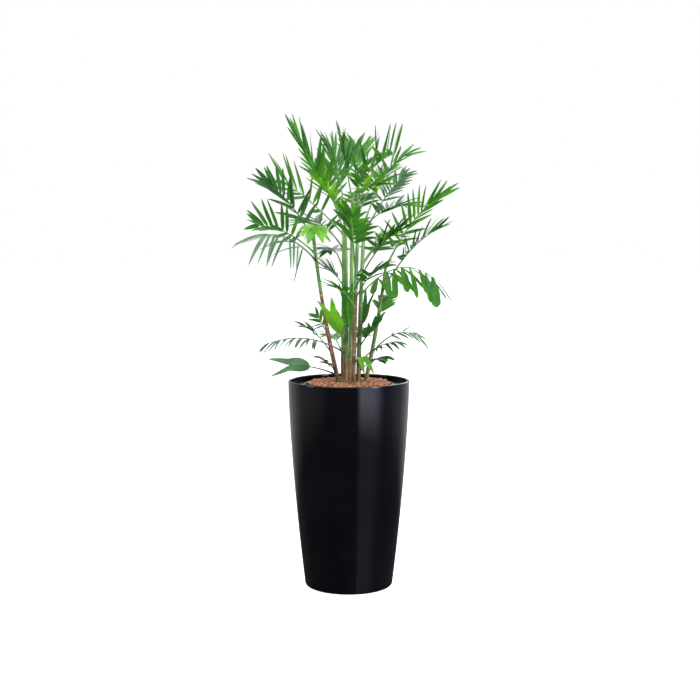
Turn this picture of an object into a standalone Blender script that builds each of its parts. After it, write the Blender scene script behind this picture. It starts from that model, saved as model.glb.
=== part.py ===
"""Bamboo palm in a tall round planter, in metres, with +Z up.

The origin is the centre of the planter's flat underside, which stands on the
floor. The palm is a clump of slim canes that rise from a bed of clay pebbles.
Every frond leaves its cane on a bare petiole and opens into a thin blade, whose
two edges run through the tips of its leaflets and whose middle is the rachis.
+X is the viewer's right and -Y is the side that faces the viewer.
"""

from math import cos, pi, radians, sin
from typing import NamedTuple

import bmesh
import bpy
from mathutils import Vector

UP = Vector((0.0, 0.0, 1.0))

# Gap between pieces that rest on each other, and the distance at which points merge
GAP = 0.0003
MERGE = 0.000001

# Round pieces shade smooth up to this angle between faces, in degrees
SMOOTH_LIMIT = 40.0

# Planter shell
PLANTER_HEIGHT = 0.560
PLANTER_FOOT_RADIUS = 0.1185
PLANTER_RIM_RADIUS = 0.1632
PLANTER_BULGE = 1.53
PLANTER_WALL = 0.006
PLANTER_FLOOR = 0.006
FOOT_ROUNDING = 0.008
OUTER_WALL_RINGS = 8
INNER_WALL_RINGS = 4
ROUNDING_STEPS = 3
TURN_STEPS = 40

# Planting insert, a bucket whose flange closes the gap to the planter's wall
INSERT_FLOOR_HEIGHT = 0.300
INSERT_FLOOR_RADIUS = 0.0975
INSERT_MOUTH_RADIUS = 0.1165
INSERT_WALL = 0.003
FLANGE_HEIGHT = 0.5435
LIP_HEIGHT = 0.5510
LIP_ROUNDING = 0.0015

# Root ball and the pebbles on it
ROOT_BALL_TOP = 0.5440
BED_EDGE_HEIGHT = 0.5520
BED_HEIGHT = 0.5560
BED_CROWN_RADIUS = 0.070

# Canes
CANE_SIDES = 10
CANE_RINGS = 6

# Fronds
PETIOLE_RADIUS = 0.0022
PETIOLE_SHOULDER = 0.45
PETIOLE_RINGS = 3
BLADE_RINGS = 7
BLADE_MIDDLE = 0.0030
BLADE_EDGE = 0.0012
CLEAR_STEP = 0.0005
LENGTH_START = 0.12
LENGTH_SPAN = 0.76

# Base colour, roughness
FINISHES = {
    "planter_gloss": ((0.010, 0.010, 0.014), 0.12),
    "insert_plastic": ((0.020, 0.020, 0.024), 0.35),
    "root_ball": ((0.070, 0.045, 0.030), 0.95),
    "clay_pebbles": ((0.520, 0.230, 0.100), 0.85),
    "cane": ((0.200, 0.330, 0.090), 0.45),
    "frond_mid": ((0.090, 0.300, 0.050), 0.40),
    "frond_deep": ((0.020, 0.130, 0.035), 0.40),
    "frond_bright": ((0.190, 0.450, 0.030), 0.40),
    "frond_sage": ((0.160, 0.290, 0.190), 0.45),
}


class Cane(NamedTuple):
    """One cane, from its flat foot on the pebbles to its cut at the crown."""
    foot: tuple
    top: tuple
    bow: tuple
    foot_radius: float
    top_radius: float


class Frond(NamedTuple):
    """One frond.

    height is where its petiole leaves the cane, tip the end of its rachis, rise
    the lift of the arch between them and bare the petiole's share of the length.
    leaflet is the longest leaflet, and taper how much of that the shortest keeps.
    roll turns the blade about the rachis and fold lifts both its halves, in
    degrees. sweep is the leaflets' angle to the rachis at the first and at the
    last pair, and droop how far their tips sink, as a share of their length.
    """
    name: str
    cane: str
    height: float
    tip: tuple
    rise: float
    bare: float
    leaflet: float
    taper: float
    roll: float
    fold: float
    sweep: tuple
    droop: float
    tone: str


CANES = {
    "left": Cane((-0.028, -0.008), (-0.094, -0.016, 0.945), (-0.006, 0.0), 0.0062, 0.0042),
    "mid_left": Cane((-0.010, 0.014), (-0.012, 0.012, 1.020), (0.004, 0.0), 0.0068, 0.0042),
    "centre": Cane((0.004, -0.018), (0.010, -0.016, 1.060), (0.0, 0.0), 0.0070, 0.0042),
    "right": Cane((0.026, -0.004), (0.042, -0.012, 0.990), (-0.002, 0.0), 0.0065, 0.0042),
    "outer_right": Cane((0.046, 0.012), (0.100, 0.026, 0.870), (0.004, 0.0), 0.0060, 0.0040),
    "back": Cane((0.012, 0.040), (0.026, 0.090, 1.030), (0.0, 0.006), 0.0065, 0.0042),
    "back_left": Cane((-0.016, 0.036), (-0.014, 0.100, 0.970), (0.0, 0.006), 0.0060, 0.0040),
    "front": Cane((0.012, -0.044), (0.018, -0.092, 0.860), (0.0, -0.004), 0.0058, 0.0040),
}

FRONDS = (
    # Left side of the crown
    Frond("left_high", "left", 0.935, (-0.210, 0.040, 1.080), rise=0.035, bare=0.20,
          leaflet=0.090, taper=0.75, roll=-40, fold=35, sweep=(60, 14), droop=0.06, tone="deep"),
    Frond("left_comb", "left", 0.900, (-0.240, -0.030, 0.975), rise=0.035, bare=0.30,
          leaflet=0.105, taper=0.25, roll=-75, fold=60, sweep=(78, 42), droop=0.02, tone="mid"),
    Frond("left_droop", "left", 0.880, (-0.215, -0.170, 0.950), rise=0.045, bare=0.24,
          leaflet=0.115, taper=0.75, roll=-30, fold=-30, sweep=(80, 20), droop=0.30, tone="sage"),
    Frond("left_back", "back_left", 0.950, (-0.180, 0.140, 1.095), rise=0.020, bare=0.35,
          leaflet=0.115, taper=0.75, roll=50, fold=30, sweep=(70, 30), droop=0.03, tone="mid"),
    Frond("left_front", "left", 0.925, (-0.085, -0.180, 0.965), rise=0.050, bare=0.30,
          leaflet=0.065, taper=0.75, roll=0, fold=5, sweep=(65, 20), droop=0.50, tone="bright"),
    # Top of the crown
    Frond("top_left", "mid_left", 0.990, (-0.130, 0.000, 1.195), rise=-0.010, bare=0.40,
          leaflet=0.108, taper=0.75, roll=-45, fold=40, sweep=(50, 10), droop=0.03, tone="mid"),
    Frond("top_centre", "mid_left", 1.010, (-0.040, 0.090, 1.165), rise=0.040, bare=0.35,
          leaflet=0.115, taper=0.75, roll=0, fold=25, sweep=(40, 10), droop=0.02, tone="mid"),
    Frond("top_spear", "centre", 1.040, (-0.020, -0.020, 1.195), rise=0.000, bare=0.45,
          leaflet=0.075, taper=0.75, roll=-30, fold=20, sweep=(35, 10), droop=0.02, tone="mid"),
    Frond("top_right", "centre", 1.050, (0.120, -0.130, 1.155), rise=0.045, bare=0.12,
          leaflet=0.105, taper=0.75, roll=45, fold=40, sweep=(60, 60), droop=0.02, tone="mid"),
    # Right side of the crown
    Frond("right_tip", "right", 0.980, (0.150, 0.050, 1.160), rise=0.070, bare=0.40,
          leaflet=0.080, taper=0.75, roll=10, fold=15, sweep=(60, 15), droop=0.08, tone="mid"),
    Frond("right_up", "right", 0.950, (0.150, 0.090, 1.110), rise=0.030, bare=0.45,
          leaflet=0.065, taper=0.75, roll=20, fold=20, sweep=(60, 20), droop=0.15, tone="sage"),
    Frond("right_fan", "outer_right", 0.860, (0.235, 0.030, 1.045), rise=0.050, bare=0.20,
          leaflet=0.090, taper=0.75, roll=50, fold=35, sweep=(70, 12), droop=0.03, tone="mid"),
    Frond("right_dark", "outer_right", 0.800, (0.235, -0.070, 0.965), rise=0.050, bare=0.35,
          leaflet=0.070, taper=0.75, roll=25, fold=25, sweep=(75, 20), droop=0.06, tone="deep"),
    Frond("right_droop", "right", 0.790, (0.225, -0.120, 0.835), rise=0.100, bare=0.20,
          leaflet=0.080, taper=0.75, roll=5, fold=-35, sweep=(88, 35), droop=0.35, tone="mid"),
    # Front of the crown
    Frond("front_high", "centre", 1.020, (0.070, -0.120, 1.075), rise=0.030, bare=0.42,
          leaflet=0.090, taper=0.75, roll=20, fold=15, sweep=(60, 20), droop=0.20, tone="bright"),
    Frond("front_left_high", "centre", 0.950, (-0.065, -0.110, 1.070), rise=0.025, bare=0.46,
          leaflet=0.080, taper=0.75, roll=-25, fold=20, sweep=(60, 20), droop=0.12, tone="bright"),
    Frond("front_right", "front", 0.810, (0.130, -0.160, 0.960), rise=0.050, bare=0.42,
          leaflet=0.095, taper=0.75, roll=20, fold=15, sweep=(65, 20), droop=0.12, tone="deep"),
    Frond("front_centre", "front", 0.840, (0.005, -0.240, 1.000), rise=0.030, bare=0.45,
          leaflet=0.085, taper=0.75, roll=-20, fold=15, sweep=(60, 20), droop=0.15, tone="mid"),
    Frond("front_low", "front", 0.760, (-0.030, -0.190, 0.815), rise=0.020, bare=0.40,
          leaflet=0.080, taper=0.75, roll=-20, fold=15, sweep=(55, 20), droop=0.15, tone="mid"),
    Frond("front_right_low", "front", 0.780, (0.080, -0.200, 0.865), rise=0.030, bare=0.40,
          leaflet=0.080, taper=0.75, roll=20, fold=15, sweep=(60, 20), droop=0.20, tone="deep"),
    # Back of the crown
    Frond("back_high", "back", 1.020, (0.020, 0.180, 1.185), rise=0.050, bare=0.35,
          leaflet=0.105, taper=0.75, roll=0, fold=20, sweep=(55, 15), droop=0.06, tone="mid"),
    Frond("back_right_high", "back", 1.000, (0.105, 0.220, 1.125), rise=0.050, bare=0.35,
          leaflet=0.090, taper=0.75, roll=0, fold=20, sweep=(60, 15), droop=0.06, tone="mid"),
    Frond("back_right", "back", 0.950, (0.170, 0.180, 1.030), rise=0.050, bare=0.40,
          leaflet=0.085, taper=0.75, roll=0, fold=15, sweep=(65, 15), droop=0.10, tone="deep"),
    Frond("back_centre", "back", 0.940, (0.035, 0.290, 1.060), rise=0.050, bare=0.50,
          leaflet=0.078, taper=0.75, roll=0, fold=15, sweep=(60, 15), droop=0.10, tone="deep"),
    Frond("back_left_high", "back_left", 0.960, (-0.090, 0.220, 1.125), rise=0.040, bare=0.40,
          leaflet=0.100, taper=0.75, roll=0, fold=20, sweep=(60, 15), droop=0.06, tone="mid"),
    Frond("back_left_mid", "back_left", 0.910, (-0.125, 0.240, 0.985), rise=0.050, bare=0.35,
          leaflet=0.095, taper=0.75, roll=0, fold=15, sweep=(65, 15), droop=0.10, tone="deep"),
    Frond("back_low", "back_left", 0.850, (-0.060, 0.270, 0.905), rise=0.050, bare=0.45,
          leaflet=0.080, taper=0.75, roll=0, fold=10, sweep=(60, 15), droop=0.12, tone="deep"),
    Frond("back_right_low", "back", 0.830, (0.120, 0.250, 0.925), rise=0.060, bare=0.45,
          leaflet=0.085, taper=0.75, roll=0, fold=10, sweep=(65, 15), droop=0.15, tone="deep"),
    # Middle of the clump
    Frond("mid_right", "right", 0.870, (0.135, 0.120, 0.945), rise=0.050, bare=0.45,
          leaflet=0.062, taper=0.75, roll=0, fold=20, sweep=(60, 15), droop=0.10, tone="mid"),
    Frond("mid_left_low", "mid_left", 0.800, (-0.060, 0.060, 0.855), rise=0.020, bare=0.45,
          leaflet=0.070, taper=0.75, roll=30, fold=20, sweep=(55, 15), droop=0.10, tone="deep"),
    # Low fronds on the right
    Frond("low_right_arch", "outer_right", 0.630, (0.190, 0.020, 0.675), rise=0.060, bare=0.40,
          leaflet=0.050, taper=0.75, roll=20, fold=0, sweep=(65, 20), droop=0.25, tone="sage"),
    Frond("low_right_comb", "right", 0.605, (0.125, -0.090, 0.670), rise=0.030, bare=0.45,
          leaflet=0.050, taper=0.75, roll=20, fold=-10, sweep=(65, 15), droop=0.30, tone="deep"),
    Frond("low_right_leaf", "right", 0.580, (0.090, -0.050, 0.625), rise=0.020, bare=0.40,
          leaflet=0.040, taper=0.75, roll=10, fold=0, sweep=(60, 20), droop=0.30, tone="deep"),
    Frond("low_right_slant", "right", 0.650, (0.075, -0.060, 0.720), rise=0.000, bare=0.35,
          leaflet=0.055, taper=0.75, roll=10, fold=20, sweep=(50, 15), droop=0.05, tone="deep"),
    Frond("low_right_back", "outer_right", 0.700, (0.100, 0.100, 0.770), rise=0.020, bare=0.40,
          leaflet=0.065, taper=0.75, roll=0, fold=20, sweep=(50, 15), droop=0.15, tone="mid"),
    # Low fronds on the left
    Frond("low_left_dark", "left", 0.630, (-0.115, -0.030, 0.705), rise=0.020, bare=0.50,
          leaflet=0.050, taper=0.75, roll=-20, fold=10, sweep=(60, 15), droop=0.10, tone="deep"),
    Frond("low_left_fan", "left", 0.680, (-0.085, 0.050, 0.730), rise=0.000, bare=0.45,
          leaflet=0.045, taper=0.75, roll=-60, fold=10, sweep=(60, 15), droop=0.10, tone="mid"),
    Frond("low_left_arch", "mid_left", 0.630, (-0.220, 0.030, 0.655), rise=0.055, bare=0.35,
          leaflet=0.050, taper=0.75, roll=0, fold=-10, sweep=(75, 25), droop=0.50, tone="sage"),
    Frond("low_left_pair", "left", 0.575, (-0.160, -0.050, 0.605), rise=0.015, bare=0.55,
          leaflet=0.065, taper=0.75, roll=-60, fold=0, sweep=(25, 25), droop=0.10, tone="sage"),
    Frond("low_left_small", "left", 0.580, (-0.070, -0.070, 0.625), rise=0.010, bare=0.40,
          leaflet=0.040, taper=0.75, roll=-20, fold=0, sweep=(55, 20), droop=0.20, tone="deep"),
    # Low fronds at the back
    Frond("low_back", "back", 0.620, (0.045, 0.150, 0.685), rise=0.030, bare=0.45,
          leaflet=0.060, taper=0.75, roll=0, fold=10, sweep=(60, 15), droop=0.20, tone="deep"),
    Frond("low_back_left", "back_left", 0.620, (-0.055, 0.140, 0.670), rise=0.030, bare=0.45,
          leaflet=0.060, taper=0.75, roll=0, fold=10, sweep=(60, 15), droop=0.20, tone="mid"),
    # Young shoots with one broad forked leaf
    Frond("young_left", "mid_left", 0.650, (-0.050, -0.060, 0.750), rise=0.000, bare=0.35,
          leaflet=0.055, taper=0.75, roll=20, fold=0, sweep=(22, 22), droop=0.00, tone="bright"),
    Frond("young_centre", "centre", 0.660, (-0.005, -0.060, 0.780), rise=0.000, bare=0.35,
          leaflet=0.060, taper=0.75, roll=0, fold=0, sweep=(20, 20), droop=0.00, tone="mid"),
    Frond("young_right", "right", 0.680, (0.050, 0.020, 0.765), rise=0.000, bare=0.35,
          leaflet=0.055, taper=0.75, roll=0, fold=0, sweep=(20, 20), droop=0.00, tone="deep"),
    Frond("young_front", "front", 0.600, (0.040, -0.100, 0.620), rise=0.035, bare=0.45,
          leaflet=0.045, taper=0.75, roll=0, fold=0, sweep=(40, 20), droop=0.20, tone="bright"),
)


def clear_scene():
    """Remove every object of the open scene."""
    for thing in list(bpy.data.objects):
        bpy.data.objects.remove(thing, do_unlink=True)


def finish_material(name):
    """Return the named finish as a material, made on its first use."""
    found = bpy.data.materials.get(name)
    if found:
        return found
    colour, roughness = FINISHES[name]
    made = bpy.data.materials.new(name)
    made.use_nodes = True
    shader = made.node_tree.nodes["Principled BSDF"]
    shader.inputs["Base Color"].default_value = (*colour, 1.0)
    shader.inputs["Roughness"].default_value = roughness
    shader.inputs["Metallic"].default_value = 0.0
    return made


def place(name, shape, finish, smooth=False):
    """Turn a bmesh into a named object with its finish, and put it in the scene."""
    mesh = bpy.data.meshes.new(name)
    shape.to_mesh(mesh)
    shape.free()
    mesh.materials.append(finish_material(finish))
    if smooth:
        mesh.shade_smooth()
        mesh.set_sharp_from_angle(angle=radians(SMOOTH_LIMIT))
    thing = bpy.data.objects.new(name, mesh)
    bpy.context.collection.objects.link(thing)


def turned(name, profile, finish):
    """Spin a profile of (radius, height) points about the upright axis."""
    shape = bmesh.new()
    points = [shape.verts.new((radius, 0.0, height)) for radius, height in profile]
    edges = [shape.edges.new(pair) for pair in zip(points, points[1:])]
    bmesh.ops.spin(shape, geom=points + edges, cent=(0.0, 0.0, 0.0), axis=UP,
                   angle=2.0 * pi, steps=TURN_STEPS, use_duplicate=False)
    bmesh.ops.remove_doubles(shape, verts=shape.verts, dist=MERGE)
    bmesh.ops.recalc_face_normals(shape, faces=shape.faces)
    place(name, shape, finish, smooth=True)


def skin_rings(shape, rings):
    """Join rings of as many points each with faces, and return their vertices."""
    count = len(rings[0])
    loops = [[shape.verts.new(point) for point in ring] for ring in rings]
    for low, high in zip(loops, loops[1:]):
        for here in range(count):
            after = (here + 1) % count
            shape.faces.new((low[here], high[here], high[after], low[after]))
    return loops


def arc(centre, radius, start, end, steps):
    """Points on a circular arc in the profile's plane, from start to end degrees."""
    turns = [radians(start + (end - start) * step / steps) for step in range(steps + 1)]
    return [(centre[0] + radius * cos(turn), centre[1] + radius * sin(turn)) for turn in turns]


def outer_radius(height):
    """The planter's outer radius: it widens upwards, less and less."""
    share = height / PLANTER_HEIGHT
    widening = 1.0 - (1.0 - share) ** PLANTER_BULGE
    return PLANTER_FOOT_RADIUS + (PLANTER_RIM_RADIUS - PLANTER_FOOT_RADIUS) * widening


def inner_radius(height):
    """The radius of the planter's inner wall."""
    return outer_radius(height) - PLANTER_WALL


def insert_radius(height):
    """The inner radius of the planting insert's bucket."""
    share = (height - INSERT_FLOOR_HEIGHT) / (LIP_HEIGHT - INSERT_FLOOR_HEIGHT)
    return INSERT_FLOOR_RADIUS + (INSERT_MOUTH_RADIUS - INSERT_FLOOR_RADIUS) * share


def build_planter():
    """The planter: a rounded foot, a gently bulging wall and a rounded rim."""
    foot_radius = outer_radius(FOOT_ROUNDING) - FOOT_ROUNDING
    rim_round = PLANTER_WALL / 2.0
    rim_base = PLANTER_HEIGHT - rim_round
    wall_rise = rim_base - FOOT_ROUNDING
    profile = [(0.0, 0.0)]
    profile += arc((foot_radius, FOOT_ROUNDING), FOOT_ROUNDING, -90.0, 0.0, ROUNDING_STEPS)
    for ring in range(1, OUTER_WALL_RINGS):
        height = FOOT_ROUNDING + wall_rise * ring / OUTER_WALL_RINGS
        profile.append((outer_radius(height), height))
    rim_middle = outer_radius(rim_base) - rim_round
    profile += arc((rim_middle, rim_base), rim_round, 0.0, 180.0, ROUNDING_STEPS + 1)
    profile.append((inner_radius(FLANGE_HEIGHT), FLANGE_HEIGHT))
    flange_under = FLANGE_HEIGHT - INSERT_WALL
    for ring in range(INNER_WALL_RINGS):
        height = flange_under - (flange_under - PLANTER_FLOOR) * ring / (INNER_WALL_RINGS - 1)
        profile.append((inner_radius(height), height))
    profile.append((0.0, PLANTER_FLOOR))
    turned("planter", profile, "planter_gloss")


def build_insert():
    """The planting insert: a bucket with a flange that meets the planter's wall."""
    flange_under = FLANGE_HEIGHT - INSERT_WALL
    floor_top = INSERT_FLOOR_HEIGHT + INSERT_WALL
    profile = [
        (0.0, INSERT_FLOOR_HEIGHT),
        (INSERT_FLOOR_RADIUS + INSERT_WALL, INSERT_FLOOR_HEIGHT),
        (insert_radius(flange_under) + INSERT_WALL, flange_under),
        (inner_radius(flange_under) - GAP, flange_under),
        (inner_radius(FLANGE_HEIGHT) - GAP, FLANGE_HEIGHT),
        (INSERT_MOUTH_RADIUS + INSERT_WALL, LIP_HEIGHT - LIP_ROUNDING),
        (INSERT_MOUTH_RADIUS + LIP_ROUNDING, LIP_HEIGHT),
        (insert_radius(LIP_HEIGHT - LIP_ROUNDING), LIP_HEIGHT - LIP_ROUNDING),
        (insert_radius(floor_top), floor_top),
        (0.0, floor_top),
    ]
    turned("planting_insert", profile, "insert_plastic")


def build_root_ball():
    """The root ball that fills the planting insert."""
    floor = INSERT_FLOOR_HEIGHT + INSERT_WALL + GAP
    profile = [
        (0.0, floor),
        (insert_radius(floor) - GAP, floor),
        (insert_radius(ROOT_BALL_TOP) - GAP, ROOT_BALL_TOP),
        (0.0, ROOT_BALL_TOP),
    ]
    turned("root_ball", profile, "root_ball")


def build_pebble_bed():
    """The bed of clay pebbles, flat where the canes stand and lower at its edge."""
    floor = ROOT_BALL_TOP + GAP
    edge = insert_radius(floor) - GAP
    profile = [
        (0.0, floor),
        (edge, floor),
        (edge, BED_EDGE_HEIGHT),
        (BED_CROWN_RADIUS, BED_HEIGHT),
        (0.0, BED_HEIGHT),
    ]
    turned("pebble_bed", profile, "clay_pebbles")


def cane_share(cane, height):
    """How far up its cane a height is, from 0 at the foot to 1 at the cut."""
    foot_height = BED_HEIGHT + GAP
    return (height - foot_height) / (cane.top[2] - foot_height)


def cane_centre(cane, height):
    """The middle of the cane at a height: a straight lean with a slight bow."""
    share = cane_share(cane, height)
    swell = 4.0 * share * (1.0 - share)
    across = [low + (high - low) * share + bow * swell
              for low, high, bow in zip(cane.foot, cane.top, cane.bow)]
    return Vector((across[0], across[1], height))


def cane_radius(cane, height):
    """The cane's radius at a height."""
    return cane.foot_radius + (cane.top_radius - cane.foot_radius) * cane_share(cane, height)


def build_cane(name, cane):
    """One tapering cane between two level cuts."""
    rings = []
    for ring in range(CANE_RINGS):
        height = BED_HEIGHT + GAP
        height += (cane.top[2] - height) * ring / (CANE_RINGS - 1)
        centre = cane_centre(cane, height)
        radius = cane_radius(cane, height)
        turns = [-2.0 * pi * side / CANE_SIDES for side in range(CANE_SIDES)]
        rings.append([centre + radius * Vector((cos(turn), sin(turn), 0.0)) for turn in turns])
    shape = bmesh.new()
    loops = skin_rings(shape, rings)
    shape.faces.new(loops[0])
    shape.faces.new(reversed(loops[-1]))
    place("cane_" + name, shape, "cane", smooth=True)


def rachis(frond, share):
    """Where the frond's rachis is, where it heads and how its blade lies there.

    The rachis is a quadratic curve in the upright plane through its two ends.
    Returns the point, the heading, the blade's sideways and its upward direction.
    """
    start = cane_centre(CANES[frond.cane], frond.height)
    end = Vector(frond.tip)
    chord = end - start
    middle = start + chord * 0.5 + UP * frond.rise
    point = start * (1.0 - share) ** 2 + middle * (2.0 * share * (1.0 - share)) + end * share ** 2
    heading = ((middle - start) * (1.0 - share) + (end - middle) * share).normalized()
    side = UP.cross(Vector((chord.x, chord.y, 0.0))).normalized()
    lift = heading.cross(side)
    turn = radians(frond.roll)
    return point, heading, side * cos(turn) + lift * sin(turn), lift * cos(turn) - side * sin(turn)


def leaflet_tip(frond, share, hand):
    """The tip of the leaflet that starts at this share of the blade, on one hand."""
    point, heading, side, lift = rachis(frond, frond.bare + (1.0 - frond.bare) * share)
    first, last = frond.sweep
    sweep = radians(first + (last - first) * share)
    fold = radians(frond.fold)
    outward = side * (hand * cos(fold)) + lift * sin(fold)
    fullness = sin(pi * (LENGTH_START + LENGTH_SPAN * share))
    length = frond.leaflet * (frond.taper + (1.0 - frond.taper) * fullness)
    reach = (heading * cos(sweep) + outward * sin(sweep)) * length
    return point + reach - UP * (frond.droop * length)


def petiole_ring(frond, share):
    """The six-sided section of the petiole."""
    point, _, side, lift = rachis(frond, share)
    flank = side * PETIOLE_RADIUS
    crest = lift * PETIOLE_RADIUS
    shoulder = crest * PETIOLE_SHOULDER
    return [point - flank + shoulder, point + crest, point + flank + shoulder,
            point + flank - shoulder, point - crest, point - flank - shoulder]


def inside_cane(cane, point):
    """Whether a point is within the cane or less than the gap away from it."""
    if point.z > cane.top[2] + GAP:
        return False
    away = point - cane_centre(cane, point.z)
    return away.length < cane_radius(cane, point.z) + GAP


def clear_share(frond):
    """The share of the rachis at which the petiole comes clear of its cane."""
    share = 0.0
    while True:
        corners = petiole_ring(frond, share)
        middles = [(here + after) / 2.0 for here, after in zip(corners, corners[1:] + corners[:1])]
        if not any(inside_cane(CANES[frond.cane], point) for point in corners + middles):
            return share
        share += CLEAR_STEP


def blade_ring(frond, share):
    """The folded section of the blade, from leaflet tip to rachis to leaflet tip.

    Each half has its thickness across its own face, and the rachis between them.
    """
    point, heading, _, _ = rachis(frond, frond.bare + (1.0 - frond.bare) * share)
    left = leaflet_tip(frond, share, -1)
    right = leaflet_tip(frond, share, 1)
    left_face = (left - point).cross(heading).normalized()
    right_face = heading.cross(right - point).normalized()
    crest = (left_face + right_face).normalized() * (BLADE_MIDDLE / 2.0)
    left_edge = left_face * (BLADE_EDGE / 2.0)
    right_edge = right_face * (BLADE_EDGE / 2.0)
    return [left + left_edge, point + crest, right + right_edge,
            right - right_edge, point - crest, left - left_edge]


def build_frond(frond):
    """One frond: its petiole and its blade as one thin closed solid.

    A quad of the underside is split along the same diagonal as the one above it,
    so a twisted blade doesn't cross itself.
    """
    clear = clear_share(frond)
    rings = [petiole_ring(frond, clear + (frond.bare - clear) * ring / PETIOLE_RINGS)
             for ring in range(PETIOLE_RINGS)]
    rings += [blade_ring(frond, ring / (BLADE_RINGS - 1)) for ring in range(BLADE_RINGS)]
    shape = bmesh.new()
    loops = skin_rings(shape, rings)
    left, crest, right, under_right, under, under_left = loops[0]
    shape.faces.new((left, crest, under, under_left))
    shape.faces.new((crest, right, under_right, under))
    left, crest, right, under_right, under, under_left = loops[-1]
    shape.faces.new((under_left, under, crest, left))
    shape.faces.new((under, under_right, right, crest))
    lower = {vert for loop in loops for vert in loop[3:]}
    underside = [face for face in shape.faces if lower.issuperset(face.verts)]
    bmesh.ops.triangulate(shape, faces=underside, quad_method="ALTERNATE")
    quads = [face for face in shape.faces if len(face.verts) == 4]
    bmesh.ops.triangulate(shape, faces=quads, quad_method="FIXED")
    place("frond_" + frond.name, shape, "frond_" + frond.tone)


def main():
    """Build the planter and what fills it, then the canes and their fronds."""
    clear_scene()
    build_planter()
    build_insert()
    build_root_ball()
    build_pebble_bed()
    for name, cane in CANES.items():
        build_cane(name, cane)
    for frond in FRONDS:
        build_frond(frond)


main()
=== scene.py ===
"""Looks of the bamboo palm in its tall round planter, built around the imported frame.

The frame gives the planter, the canes and each frond as a thin blade. Here every blade
becomes a stalk with its leaflets, every cane gets its rings, and the planter, the insert
inside it and the clay pebbles are modelled finely. Lengths are metres, +Z is up and -Y
is the side that faces the viewer.
"""

import logging
from dataclasses import dataclass, field
from enum import Enum, IntEnum
from functools import cache
from itertools import product
from math import cos, pi, radians, sin, sqrt

import bmesh
import bpy
import numpy as np
from bpy.types import ID, Material, Mesh, Node, NodeSocket, Object, World
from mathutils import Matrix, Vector


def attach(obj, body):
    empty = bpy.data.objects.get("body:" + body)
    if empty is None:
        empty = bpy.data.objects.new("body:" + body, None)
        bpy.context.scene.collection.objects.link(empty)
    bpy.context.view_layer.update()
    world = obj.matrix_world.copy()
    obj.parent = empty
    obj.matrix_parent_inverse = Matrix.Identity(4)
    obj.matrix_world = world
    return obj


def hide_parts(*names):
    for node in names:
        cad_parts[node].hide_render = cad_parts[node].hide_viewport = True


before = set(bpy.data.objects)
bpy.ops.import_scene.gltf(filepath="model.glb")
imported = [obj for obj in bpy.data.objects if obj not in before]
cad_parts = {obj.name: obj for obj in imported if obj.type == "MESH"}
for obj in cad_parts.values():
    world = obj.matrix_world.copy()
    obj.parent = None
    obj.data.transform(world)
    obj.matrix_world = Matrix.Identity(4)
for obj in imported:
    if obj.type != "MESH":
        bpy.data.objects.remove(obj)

log = logging.getLogger("palm")

UP = np.array([0.0, 0.0, 1.0])
WELD = 1e-6
CREASE_DEGREES = 40.0
Vec = np.ndarray
Colour = tuple[float, float, float]
Spot = tuple[float, float, float]
Pair = tuple[float, float]
Rng = np.random.Generator


class Tone(Enum):
    """The greens that the fronds wear. The darkest is painted shade, a darker copy of the green on the
    fronds that lie in shade, and the brightest is painted light, a lighter copy on the lit fronds. A value
    ends the names of a tone's materials and of its piece.
    """

    MID = "mid"
    DEEP = "deep"
    BRIGHT = "bright"
    SAGE = "sage"


MID, DEEP, BRIGHT, SAGE = Tone


class Rind(Enum):
    """The colours that a cane has between its foot and its sheaths."""

    GREEN = "green"
    RED = "red"


class Band(IntEnum):
    """The finish numbers of a cane's bands."""

    FOOT = 0
    RIND = 1
    SCAR = 2
    SHEATH = 3


def unit(vector: Vec) -> Vec:
    """Return the vector at length one."""
    return vector / np.linalg.norm(vector)


def units(rows: Vec) -> Vec:
    """Return every row at length one."""
    return rows / np.linalg.norm(rows, axis=1)[:, None]


def around(sides: int) -> Vec:
    """Return the angles of this many sides, once around."""
    return np.linspace(0.0, 2.0 * pi, sides, endpoint=False)


def turned_about(vector: Vec, axis: Vec, angle: float) -> Vec:
    """Turn a vector, at a right angle to an axis of length one, by an angle in radians."""
    return vector * cos(angle) + np.cross(axis, vector) * sin(angle)


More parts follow.
